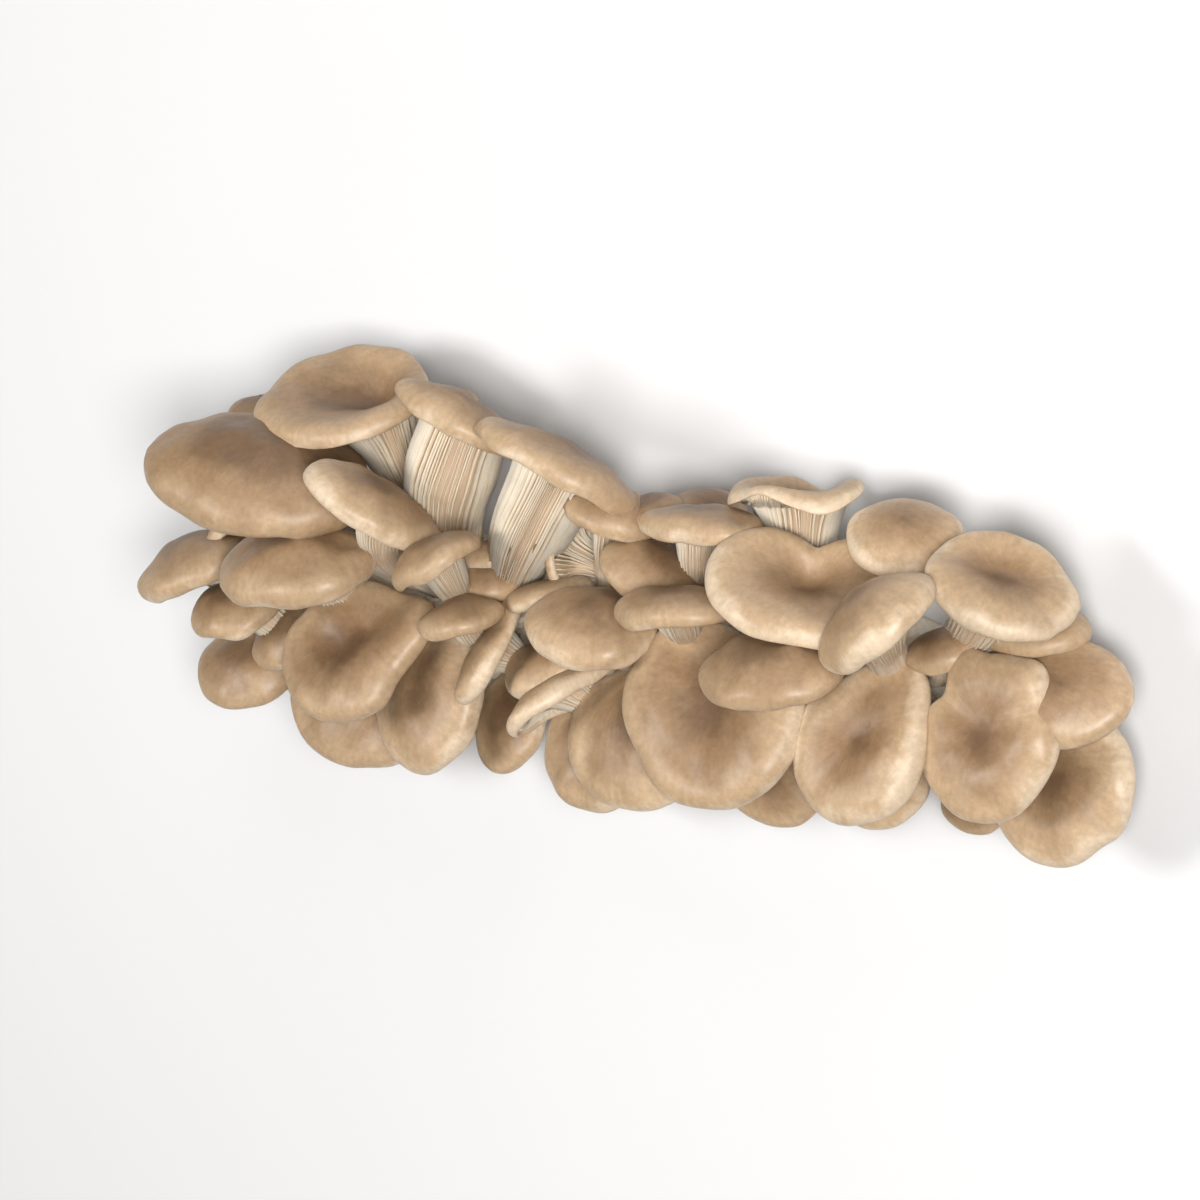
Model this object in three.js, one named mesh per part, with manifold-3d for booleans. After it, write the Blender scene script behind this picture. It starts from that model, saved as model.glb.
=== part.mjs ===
// Oyster mushroom cluster: a flush of fruit bodies joined on one fused stem base.
// It is cut from its block and rests on the flat cut, with the caps looking up and outwards.
// Millimetres, +Z up. +X runs along the row of mushrooms. The origin is the middle of the cut face.

import * as THREE from "three";
import { mergeVertices } from "three/addons/utils/BufferGeometryUtils.js";
import Module from "manifold-3d";

// ---------------------------------------------------------------- driving dimensions

const BASE = {
  length: 304,
  depth: 64,
  middle: 3, // how far the base's centre line lies towards +Y
  height: 15, // tissue between the three clumps
  mounds: [[-95, 10, 46], [22, 10, 40], [114, 10, 42]], // x, extra height, spread of each clump
  sides: 32,
  knuckles: [[3, 0.035, 0], [5, 0.03, 90]], // waves of its outline: count, height, phase
  rings: [0.35, 0.65, 0.85, 0.96], // where its domed top has rings, as shares of the way out
  shoulder: 0.2, // height of its widest place, as a share of the tissue there
  cut: 0.97, // size of the cut face, as a share of the outline
};

const GAP = 0.35; // clearance between neighbours that press on each other
const FINEST = 0.005; // facets smaller than this are merged after the neighbours are fitted
const SIDES = 9; // facets around each cap and stem
const SECTION_STEPS = 120; // steps of the walk along a cap's section
const SLOPE_STEP = 0.01; // share and angle over which a cap's slope is measured
const LEAST = 1e-4; // keeps shares off zero, and welds points that lie closer than this
const ROOT_HEIGHT = 9; // where a stem's end sits inside the base
const EDGE = 0.78; // share of the cap radius where the margin starts to round off
const THINNING = 0.2; // how much thinner the flesh is at the margin than over the stem
const DIP_WIDTH = 0.4; // reach of the hollow, as a share of the cap's mean radius
const NECK = 0.1; // share of the stem's line where the gills spread the widest
const LEAN = 0.35; // how far a foot leans towards its cap, and the length of that bend
const LEAST_RISE = 8; // height that keeps a foot from lying flat
const TAPER = 0.1; // how much thinner a stem is at its foot

// Where the skins have their rings: shares of the cap radius over and under the margin, and
// shares of the stem's line.
const TOP_RINGS = [0.4, EDGE, 0.93, 1];
const UNDER_RINGS = [0.93, 0.5];
const STEM_RINGS = [0, NECK, 0.3, 0.6, 1];

// How a cap grows: slope of the skin at the edge, roll of the margin and where it starts,
// hollow over the stem, stem offset as a share of the radius, flesh thickness, gill flare.
const HABITS = {
  helmet: { dome: 50, curl: 75, curlFrom: 0.72, dip: 0, off: 0.3, flesh: 5, flare: 1.3 },
  shell: { dome: 30, curl: 82, curlFrom: 0.72, dip: 6, off: 0.7, flesh: 5, flare: 1.3 },
  funnel: { dome: -14, curl: 75, curlFrom: 0.68, dip: 9, off: 0.4, flesh: 4.5, flare: 2 },
  button: { dome: 60, curl: 80, curlFrom: 0.7, dip: 0, off: 0.15, flesh: 4, flare: 1 },
};

// What every mushroom has unless its row says otherwise: turn of the cap about its facing
// direction, lobes of the margin (angle, height, spread), wave of the margin (height, count,
// phase), direction and length of the hollow from the stem's side, how far the stem first drops
// out of the cap and how far down it the gills run, both as shares of its length.
const PLAIN = { turn: 0, lobes: [], wave: [0, 3, 0], trough: [0, 1], drop: 0.42, fall: 0.16 };

// Each mushroom: name, habit, middle of the cap's margin, direction the cap faces (degrees from
// straight up, degrees round from +X), long and wide size of the cap, foot on the base, stem
// radius, and what sets it apart. A pole sets where the stem meets the cap: angle, share of radius.
const MUSHROOMS = [
  ["back_01", "button", [-172, 66, 26], [75, 100], [22, 20], [-110, 20], 4],
  ["back_02", "funnel", [-109, 84, 52], [62, 92], [70, 58], [-92, 20], 8, { dip: 10 }],
  ["back_03", "helmet", [-51, 82, 58], [106, 68], [48, 32], [-80, 12], 10, {
    dome: 35, flare: 1.1, fall: 0.3,
  }],
  ["back_04", "button", [-76, 82, 34], [85, 73], [20, 17], [-78, 20], 4],
  ["back_05", "helmet", [-5, 70, 60], [110, 70], [62, 38], [-58, 8], 7, {
    dome: 30, flare: 1.5, fall: 0.35,
  }],
  ["back_06", "button", [13, 55, 50], [80, 72], [29, 22], [-10, 10], 5],
  ["back_07", "shell", [-6, 38, 36], [100, 190], [36, 32], [10, 8], 5, { dip: 0, off: 0.3 }],
  ["back_08", "button", [32, 35, 50], [80, 60], [35, 26], [18, 8], 5],
  ["back_09", "button", [27, 55, 42], [80, 100], [24, 18], [20, 12], 4],
  ["back_10", "helmet", [56, 56, 54], [88, 92], [46, 26], [28, 10], 6, { dome: 32, drop: 0.25 }],
  ["back_11", "button", [41, 56, 32], [80, 80], [24, 20], [32, 15], 4],
  ["back_12", "funnel", [83, 70, 36], [93, 94], [52, 38], [72, 12], 7, {
    off: 0.2, flesh: 3.5, wave: [3, 3, 90],
  }],
  ["back_13", "helmet", [134, 61, 44], [58, 75], [35, 29], [102, 12], 6],
  ["back_14", "shell", [176, 52, 50], [68, 55], [47, 39], [126, 12], 8, {
    dip: 8, pole: [90, 0.15], trough: [-100, 2],
    lobes: [[-25, -0.06, 10], [8, 0.07, 15], [140, 0.06, 18]],
  }],
  ["back_15", "helmet", [177, 33, 30], [75, 90], [36, 26], [130, 8], 5],
  ["left_01", "helmet", [-130, 52, 74], [70, 77], [80, 56], [-106, 10], 9],
  ["left_02", "helmet", [-157, 22, 50], [104, 152], [32, 28], [-112, 8], 4],
  ["left_03", "helmet", [-70, 52, 84], [98, 58], [50, 31], [-86, 10], 6, { dome: 40, drop: 0.3 }],
  ["left_04", "helmet", [-38, 37, 82], [76, 117], [37, 29], [-70, 2], 5, {
    dome: 40, flare: 1.8, drop: 0.2,
  }],
  ["left_05", "button", [-45, 31, 46], [85, 100], [18, 16], [-70, 4], 3],
  ["left_06", "helmet", [-173, 11, 60], [75, 112], [50, 38], [-114, 2], 6],
  ["left_07", "helmet", [-107, 23, 78], [70, 96], [60, 44], [-98, 0], 8],
  ["left_08", "helmet", [-152, 0, 62], [65, 95], [32, 30], [-108, -8], 5],
  ["left_09", "button", [-139, -10, 48], [45, 115], [26, 24], [-102, -12], 4],
  ["left_10", "shell", [-90, -5, 68], [32, 90], [55, 50], [-90, -6], 8, {
    dip: 9, pole: [70, 0.25], trough: [-25, 2], lobes: [[34, 0.28, 20], [-14, -0.14, 24]],
  }],
  ["left_11", "helmet", [-164, -26, 42], [45, 90], [38, 34], [-106, -14], 6],
  ["left_12", "shell", [-115, -34, 32], [25, 75], [60, 45], [-88, -14], 7],
  ["middle_01", "shell", [-67, -22, 50], [20, 100], [43, 50], [-76, -10], 7],
  ["middle_02", "helmet", [-38, 13, 70], [80, 102], [29, 25], [-60, 0], 5, { drop: 0.2 }],
  ["middle_03", "button", [-42, 23, 50], [75, 85], [22, 18], [-66, 2], 3],
  ["middle_04", "shell", [-31, 3, 60], [51, 137], [40, 22], [-56, -6], 4, { turn: 90, dip: 3 }],
  ["middle_05", "shell", [-47, -30, 30], [20, 90], [27, 36], [-56, -12], 5, { dip: 3 }],
  ["middle_06", "helmet", [-16, -4, 49], [58, 108], [29, 26], [-6, -6], 4],
  ["middle_07", "helmet", [-3, -12, 54], [86, 129], [44, 26], [-2, -10], 4, { turn: 90, dome: 40 }],
  ["middle_08", "helmet", [17, 17, 66], [68, 78], [42, 35], [12, 0], 7],
  ["middle_09", "shell", [-14, 22, 50], [85, 108], [34, 26], [0, 2], 4],
  ["middle_10", "helmet", [59, 31, 74], [84, 97], [44, 28], [34, 6], 6, { dome: 34, drop: 0.15 }],
  ["right_01", "shell", [27, -21, 46], [25, 95], [58, 52], [18, -10], 7],
  ["right_02", "shell", [69, -5, 62], [25, 85], [70, 61], [50, -8], 9, {
    dip: 12, pole: [84, 0.4], trough: [8, 2.2], lobes: [[72, -0.3, 22], [128, 0.1, 24]],
  }],
  ["right_03", "shell", [-2, -34, 34], [20, 95], [46, 40], [8, -14], 6],
  ["right_04", "helmet", [105, 16, 78], [72, 94], [48, 38], [86, 0], 6, { flare: 1.8, drop: 0.2 }],
  ["right_05", "helmet", [150, 40, 78], [66, 126], [52, 38], [116, 4], 7, { flare: 1.8, drop: 0.2 }],
  ["right_06", "funnel", [108, 46, 62], [60, 72], [76, 54], [76, 6], 9, {
    dip: 11, lobes: [[108, -0.26, 24]],
  }],
  ["right_07", "shell", [128, -6, 58], [20, 95], [49, 52], [116, -6], 8, {
    dip: 8, pole: [65, 0.2], trough: [-5, 2.2], lobes: [[60, 0.2, 20], [118, -0.16, 24]],
  }],
  ["right_08", "shell", [175, 2, 50], [15, 90], [48, 52], [146, -2], 8, {
    dip: 7, pole: [110, 0.15],
    lobes: [[120, 0.15, 12], [60, 0.15, 12], [150, -0.14, 15], [30, -0.14, 15]],
  }],
  ["right_09", "shell", [194, 17, 38], [40, 75], [46, 35], [140, 6], 6, { dip: 3 }],
  ["right_10", "shell", [189, -16, 28], [10, 80], [52, 50], [145, -8], 7, {
    pole: [100, 0.3], lobes: [[-45, -0.08, 14]],
  }],
  ["right_11", "button", [150, -29, 20], [20, 90], [22, 20], [125, -12], 4],
  ["right_12", "shell", [74, -29, 30], [15, 90], [44, 36], [50, -14], 6, { dip: 3 }],
  ["right_13", "shell", [113, -25, 28], [15, 90], [40, 34], [100, -14], 6, { dip: 3 }],
  ["right_14", "button", [149, 24, 42], [70, 101], [24, 18], [120, 10], 4],
];

const SKIN = {
  helmet: new THREE.MeshStandardMaterial({ color: 0xb9966f, roughness: 0.55, metalness: 0 }),
  shell: new THREE.MeshStandardMaterial({ color: 0xb48f69, roughness: 0.55, metalness: 0 }),
  funnel: new THREE.MeshStandardMaterial({ color: 0xab8763, roughness: 0.55, metalness: 0 }),
  button: new THREE.MeshStandardMaterial({ color: 0xc2a179, roughness: 0.55, metalness: 0 }),
};
const BASE_FLESH = new THREE.MeshStandardMaterial({ color: 0xe6dccb, roughness: 0.8, metalness: 0 });

// ---------------------------------------------------------------- small helpers

const rad = THREE.MathUtils.degToRad;
const ease = (from, to, x) => THREE.MathUtils.smoothstep(x, from, to);
const TURN = 2 * Math.PI;

function plainMushroom([name, habit, at, faces, size, root, stem, more = {}]) {
  return {
    ...PLAIN,
    ...HABITS[habit],
    ...more,
    name,
    habit,
    centre: new THREE.Vector3(...at),
    tilt: rad(faces[0]),
    toward: rad(faces[1]),
    long: size[0],
    wide: size[1],
    mean: (size[0] + size[1]) / 4,
    root: new THREE.Vector3(root[0], root[1], ROOT_HEIGHT),
    stem,
  };
}

// ---------------------------------------------------------------- cap

// Long axis, wide axis and facing direction of the cap.
function capAxes(s) {
  const up = new THREE.Vector3(0, 0, 1);
  const hinge = new THREE.Vector3(-Math.sin(s.toward), Math.cos(s.toward), 0);
  const facing = up.clone().applyAxisAngle(hinge, s.tilt);
  const long = new THREE.Vector3(1, 0, 0).applyAxisAngle(hinge, s.tilt).applyAxisAngle(facing, rad(s.turn));
  return { long, wide: facing.clone().cross(long), facing };
}

// Radius of the margin at an angle: an ellipse with a few soft lobes.
function marginRadius(s, angle) {
  const a = s.long / 2;
  const b = s.wide / 2;
  let radius = (a * b) / Math.hypot(b * Math.cos(angle), a * Math.sin(angle));
  for (const [at, amount, spread] of s.lobes) {
    const away = THREE.MathUtils.euclideanModulo(angle - rad(at) + Math.PI, TURN) - Math.PI;
    radius *= 1 + amount * Math.exp(-((away / rad(spread)) ** 2));
  }
  return radius;
}

// Section through the cap as radius and height against the share of the way out,
// found by walking along the skin. Both are shares of the cap radius.
function capSection(s, steps = SECTION_STEPS) {
  const radii = [0];
  const heights = [0];
  for (let i = 0; i < steps; i++) {
    const out = (i + 0.5) / steps;
    const slope = rad(s.dome) * out + rad(s.curl) * ease(s.curlFrom, 1, out);
    radii.push(radii[i] + Math.cos(slope));
    heights.push(heights[i] - Math.sin(slope));
  }
  const full = radii[steps];
  const rim = heights[steps];
  const at = (list, out) => {
    const place = Math.min(out, 1) * steps;
    const i = Math.min(Math.floor(place), steps - 1);
    return THREE.MathUtils.lerp(list[i], list[i + 1], place - i);
  };
  return {
    radius: (out) => at(radii, out) / full,
    height: (out) => (at(heights, out) - rim) / full,
  };
}

// The middle sheet of the cap: a point for each share of the way out from the stem and angle.
function capSheet(s, axes, pole) {
  const section = capSection(s);
  const troughAngle = pole.angle() + rad(s.trough[0]);
  const [waveHeight, waveCount, wavePhase] = s.wave;
  const dipWidth = DIP_WIDTH * s.mean;
  return (out, angle) => {
    const edge = marginRadius(s, angle);
    const flat = new THREE.Vector2(edge * Math.cos(angle), edge * Math.sin(angle));
    flat.lerpVectors(pole, flat, out);
    const seen = Math.atan2(flat.y, flat.x);
    const share = Math.max(flat.length() / marginRadius(s, seen), LEAST);
    const shrink = section.radius(share) / share;
    const dip = flat.clone().sub(pole).rotateAround(new THREE.Vector2(), -troughAngle);
    let height = s.mean * section.height(share);
    height -= s.dip * Math.exp(-((dip.x / (dipWidth * s.trough[1])) ** 2) - (dip.y / dipWidth) ** 2);
    height += waveHeight * share ** 3 * Math.cos(waveCount * seen - rad(wavePhase));
    return s.centre
      .clone()
      .addScaledVector(axes.long, flat.x * shrink)
      .addScaledVector(axes.wide, flat.y * shrink)
      .addScaledVector(axes.facing, height);
  };
}

function sheetNormal(sheet, out, angle) {
  const from = Math.max(out - SLOPE_STEP, 2 * SLOPE_STEP);
  const ring = Math.max(out, 4 * SLOPE_STEP);
  const outward = sheet(from + 2 * SLOPE_STEP, angle).sub(sheet(from, angle));
  const around = sheet(ring, angle + SLOPE_STEP).sub(sheet(ring, angle - SLOPE_STEP));
  return outward.cross(around).normalize();
}

// Where the stem meets the cap, in the cap's own plane: towards the foot, or where the row says.
function capPole(s, axes) {
  const toRoot = s.root.clone().sub(s.centre);
  const towardRoot = Math.atan2(toRoot.dot(axes.wide), toRoot.dot(axes.long));
  const [angle, share] = s.pole ? [rad(s.pole[0]), s.pole[1]] : [towardRoot, s.off];
  const reach = share * marginRadius(s, angle);
  return new THREE.Vector2(reach * Math.cos(angle), reach * Math.sin(angle));
}

// Half the flesh thickness: full over the stem and rounded off to nothing at the margin.
function halfFlesh(s, out) {
  const rounding = THREE.MathUtils.clamp((out - EDGE) / (1 - EDGE), 0, 1);
  return (s.flesh / 2) * (1 - THINNING * out) * Math.sqrt(1 - rounding ** 2);
}

// ---------------------------------------------------------------- stem

// The stem's line leaves the cap squarely and bends down to its foot.
function stemLine(s, axes, top) {
  const span = top.distanceTo(s.root);
  const lean = top.clone().sub(s.root);
  lean.set(lean.x * LEAN, lean.y * LEAN, Math.max(lean.z, LEAST_RISE)).normalize();
  return new THREE.CubicBezierCurve3(
    top,
    top.clone().addScaledVector(axes.facing, -s.drop * span),
    s.root.clone().addScaledVector(lean, LEAN * span),
    s.root,
  );
}

// Rings round the stem's line that turn with it and keep the cap's axes from ring to ring.
function stemRings(s, axes, line, stations) {
  let long = axes.long.clone();
  let wide = axes.wide.clone();
  let before = axes.facing.clone().negate();
  return stations.map((along) => {
    const direction = line.getTangent(along);
    const swing = new THREE.Quaternion().setFromUnitVectors(before, direction);
    long = long.clone().applyQuaternion(swing);
    wide = wide.clone().applyQuaternion(swing);
    before = direction;
    const gills = s.flare * Math.exp(-along / s.fall) * ease(0, NECK, along);
    const radius = s.stem * (1 + gills - TAPER * along);
    const middle = line.getPoint(along);
    return (angle) =>
      middle
        .clone()
        .addScaledVector(long, radius * Math.cos(angle))
        .addScaledVector(wide, radius * Math.sin(angle));
  });
}

// ---------------------------------------------------------------- closed skins

// A closed body from a first point, rings of points and a last point, wound to face out.
function closedSkin(first, rings, last) {
  const count = rings[0].length;
  const points = [first, ...rings.flat(), last];
  const index = [];
  for (let j = 0; j < count; j++) {
    const k = (j + 1) % count;
    index.push(0, 1 + j, 1 + k);
    for (let i = 0; i < rings.length - 1; i++) {
      const a = 1 + i * count;
      const b = a + count;
      index.push(a + j, b + j, b + k, a + j, b + k, a + k);
    }
    const end = 1 + (rings.length - 1) * count;
    index.push(end + j, points.length - 1, end + k);
  }
  const geometry = new THREE.BufferGeometry().setFromPoints(points);
  geometry.setIndex(index);
  return geometry;
}

// The cap's skin over the margin and back to the stem, and the stem's skin with its spread of
// gills, which starts inside the cap.
function mushroomSkins(s) {
  const axes = capAxes(s);
  const pole = capPole(s, axes);
  const sheet = capSheet(s, axes, pole);
  const angles = Array.from({ length: SIDES }, (_, j) => (j / SIDES) * TURN);

  const skinRing = (out, side) =>
    angles.map((angle) =>
      sheet(out, angle).addScaledVector(sheetNormal(sheet, out, angle), side * halfFlesh(s, out)),
    );
  const crown = sheet(0, 0).addScaledVector(sheetNormal(sheet, 0, 0), halfFlesh(s, 0));
  const neck = sheet(0, 0).addScaledVector(axes.facing, -s.flesh / 2);
  const top = TOP_RINGS.map((out) => skinRing(out, 1));
  const under = UNDER_RINGS.map((out) => skinRing(out, -1));

  const rings = stemRings(s, axes, stemLine(s, axes, neck), STEM_RINGS);
  const stem = rings.map((ring) => angles.map(ring));
  return [closedSkin(crown, [...top, ...under], neck), closedSkin(neck.clone(), stem, s.root.clone())];
}

// The fused base: low flesh with a mound under each clump and a flat cut below.
function baseSkin() {
  const height = (x) =>
    BASE.mounds.reduce(
      (sum, [at, extra, spread]) => sum + extra * Math.exp(-(((x - at) / spread) ** 2)),
      BASE.height,
    );
  const ring = (out, rise) =>
    Array.from({ length: BASE.sides }, (_, j) => {
      const angle = (j / BASE.sides) * TURN;
      const edge = BASE.knuckles.reduce(
        (sum, [count, swell, phase]) => sum + swell * Math.cos(count * angle - rad(phase)),
        1,
      );
      const x = (BASE.length / 2) * out * edge * Math.cos(angle);
      const y = BASE.middle + (BASE.depth / 2) * out * edge * Math.sin(angle);
      return new THREE.Vector3(x, y, rise * height(x));
    });
  const top = BASE.rings.map((out) => ring(out, Math.sqrt(1 - out ** 4)));
  const sides = [ring(1, BASE.shoulder), ring(BASE.cut, 0)];
  const crown = new THREE.Vector3(0, BASE.middle, height(0));
  return closedSkin(crown, [...top, ...sides], new THREE.Vector3(0, BASE.middle, 0));
}

// ---------------------------------------------------------------- fitting neighbours together

const wasm = await Module();
wasm.setup();

function toSolid(geometry) {
  return new wasm.Manifold(
    new wasm.Mesh({
      numProp: 3,
      vertProperties: new Float32Array(geometry.attributes.position.array),
      triVerts: new Uint32Array(geometry.index.array),
    }),
  );
}

// The same skin pushed out along its normals.
function swollen(geometry, by) {
  const grown = geometry.clone();
  grown.computeVertexNormals();
  const { position, normal } = grown.attributes;
  for (let i = 0; i < position.count; i++) {
    position.setXYZ(
      i,
      position.getX(i) + by * normal.getX(i),
      position.getY(i) + by * normal.getY(i),
      position.getZ(i) + by * normal.getZ(i),
    );
  }
  return grown;
}

// The room that the neighbours stay out of: the body itself and the clearance round its skins.
function roomOf(body, skins) {
  return skins.reduce((room, skin) => room.add(toSolid(swollen(skin, GAP))), body);
}

function largestBody(solid) {
  return solid.decompose().reduce((best, body) => (body.volume() > best.volume() ? body : best));
}

function toMesh(solid, material, name) {
  const { vertProperties, triVerts } = solid.getMesh();
  const skin = new THREE.BufferGeometry();
  skin.setAttribute("position", new THREE.BufferAttribute(new Float32Array(vertProperties), 3));
  skin.setIndex(new THREE.BufferAttribute(new Uint32Array(triVerts), 1));
  const mesh = new THREE.Mesh(mergeVertices(skin, LEAST), material);
  mesh.name = name;
  return mesh;
}

function boxOf(skins) {
  const box = new THREE.Box3();
  for (const skin of skins) {
    skin.computeBoundingBox();
    box.union(skin.boundingBox);
  }
  return box;
}

// ---------------------------------------------------------------- assembly

const cluster = new THREE.Group();
cluster.name = "oyster_mushroom_cluster";
const clumps = {
  back: new THREE.Group(),
  left: new THREE.Group(),
  middle: new THREE.Group(),
  right: new THREE.Group(),
};
cluster.add(...Object.values(clumps));

const base = baseSkin();
const baseBody = toSolid(base);
cluster.add(toMesh(baseBody, BASE_FLESH, "stem_base"));

// The outermost caps keep their shape and those behind are shaped round them.
const placed = [{ box: boxOf([base]), room: roomOf(baseBody, [base]) }];
const mushrooms = MUSHROOMS.map(plainMushroom).sort((a, b) => b.centre.z - a.centre.z);
for (const mushroom of mushrooms) {
  const skins = mushroomSkins(mushroom);
  const [cap, stem] = skins.map(toSolid);
  const box = boxOf(skins);
  const near = placed.filter((other) => box.intersectsBox(other.box));
  const solid = near.reduce((rest, other) => rest.subtract(other.room), cap.add(stem));
  const body = largestBody(solid).simplify(FINEST);
  const [clump] = mushroom.name.split("_");
  clumps[clump].add(toMesh(body, SKIN[mushroom.habit], mushroom.name));
  placed.push({ box, room: roomOf(body, skins) });
}

export default cluster;
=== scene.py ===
"""Oyster mushroom cluster: mushrooms grown together on one stem base, cut off flat.

It rests on the cut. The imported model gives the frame. Each mushroom is grown here from the same
few numbers as its CAD body, with a fine skin, and stands for that body. Only right_02 has one
lobe changed and one added. Geometry Nodes lay the gills under each cap.
"""

import math

import bpy
import numpy as np
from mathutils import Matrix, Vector


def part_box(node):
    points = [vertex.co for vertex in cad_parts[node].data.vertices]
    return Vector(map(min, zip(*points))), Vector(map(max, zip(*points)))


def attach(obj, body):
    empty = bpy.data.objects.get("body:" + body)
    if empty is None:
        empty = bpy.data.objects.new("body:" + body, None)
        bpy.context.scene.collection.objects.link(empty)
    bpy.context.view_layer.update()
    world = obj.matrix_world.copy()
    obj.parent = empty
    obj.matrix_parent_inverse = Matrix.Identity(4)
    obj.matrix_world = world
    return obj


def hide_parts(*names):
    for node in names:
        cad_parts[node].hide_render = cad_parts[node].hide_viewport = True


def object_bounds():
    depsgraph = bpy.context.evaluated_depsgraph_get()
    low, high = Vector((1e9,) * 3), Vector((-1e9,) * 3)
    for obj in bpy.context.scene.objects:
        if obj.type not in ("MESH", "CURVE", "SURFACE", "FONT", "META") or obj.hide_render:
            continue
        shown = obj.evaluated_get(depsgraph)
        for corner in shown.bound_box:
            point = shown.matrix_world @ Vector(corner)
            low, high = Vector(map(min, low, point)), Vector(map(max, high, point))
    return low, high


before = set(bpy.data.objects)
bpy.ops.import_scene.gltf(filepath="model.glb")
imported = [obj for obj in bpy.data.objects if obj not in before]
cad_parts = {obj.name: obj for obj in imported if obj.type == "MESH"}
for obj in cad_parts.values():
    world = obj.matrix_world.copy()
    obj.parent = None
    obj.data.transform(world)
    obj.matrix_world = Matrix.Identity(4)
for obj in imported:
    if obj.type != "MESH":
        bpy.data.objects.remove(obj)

CAD_LOW, CAD_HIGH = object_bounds()

# ---------------------------------------------------------------- sizes, in millimetres and degrees

MM = 0.001
TURN = 2 * math.pi
TINY = 1e-9  # keeps a length off zero
LEAST = 1e-4  # keeps a share off zero
SECTION_STEPS = 600  # steps of the walk along a cap's section
SLOPE_STEP = 0.01  # share and angle over which a cap's slope is measured

EDGE = 0.78  # share of the cap radius where the margin starts to round off
THINNING = 0.2  # how much thinner the flesh is at the margin than over the stem
DIP_WIDTH = 0.4  # reach of the hollow, as a share of the cap's mean radius
ROOT_HEIGHT = 9  # where a stem's end sits inside the base
NECK = 0.26  # share of the stem where the underside has turned into stem
UNDER_FROM = 0.6  # share of the cap radius where that turning starts
UNDER_TO = 0.1  # and where it ends
LEAN = 0.35  # how far a foot leans towards its cap, and the length of that bend
LEAST_RISE = 8  # height that keeps a foot from lying flat
TAPER = 0.1  # how much thinner a stem is at its foot
FOOT_SWELL = 0.35  # how much wider it spreads again where it meets the base
FOOT_FROM = 0.72  # share of the stem where that starts

MARGIN_RIPPLES = ((3, 0.014), (5, 0.012), (8, 0.006))  # count and height
STEM_FIBRES = ((9, 0.02), (14, 0.018), (23, 0.012))  # count and height
FIBRES_FROM, FIBRES_FULL = 0.2, 0.5  # shares of the stem where they rise
SWELLS = 7  # crossing swells in one unevenness

# How finely a skin is laid out: sides round it, and its rows of points.
LEAST_SIDES = 28
SIDES_PER_MM = 3.4  # of mean cap radius
FIRST_RING = 0.035  # share of the cap radius
TOP_ROWS = 24
ROUNDING_ROWS = 10
LIP_ROWS = 7
NECK_ROWS = 15
STEM_ROWS = 24

# How a cap grows: slope of the skin at the edge, roll of the margin and where it starts, hollow
# over the stem, stem offset as a share of the radius, flesh thickness and gill flare.
HABITS = {
    "helmet": dict(dome=50, curl=75, curl_from=0.72, dip=0, off=0.3, flesh=5, flare=1.3),
    "shell": dict(dome=30, curl=82, curl_from=0.72, dip=6, off=0.7, flesh=5, flare=1.3),
    "funnel": dict(dome=-14, curl=75, curl_from=0.68, dip=9, off=0.4, flesh=4.5, flare=2),
    "button": dict(dome=60, curl=80, curl_from=0.7, dip=0, off=0.15, flesh=4, flare=1),
}

# What every mushroom has unless its row says otherwise: turn of the cap about its facing
# direction, lobes of the margin (angle, height, spread), wave of the margin (height, count,
# phase), direction and length of the hollow, where the stem meets the cap (angle and share of
# the radius, or None for the foot's side), how far the stem drops straight out of the cap, how
# far down it the flare dies away and the gills run, as shares of its length, and the skin's
# paleness from 0 to 1, or None for a tone drawn at random. A given paleness is partly the cap's
# own tone and partly painted light and shade: it lightens or darkens a whole cap to match how
# brightly that cap was lit.
PLAIN = dict(
    turn=0, lobes=(), wave=(0, 3, 0), trough=(0, 1), pole=None, drop=0.42, fall=0.16,
    gills=0.4, pale=None)

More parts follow.
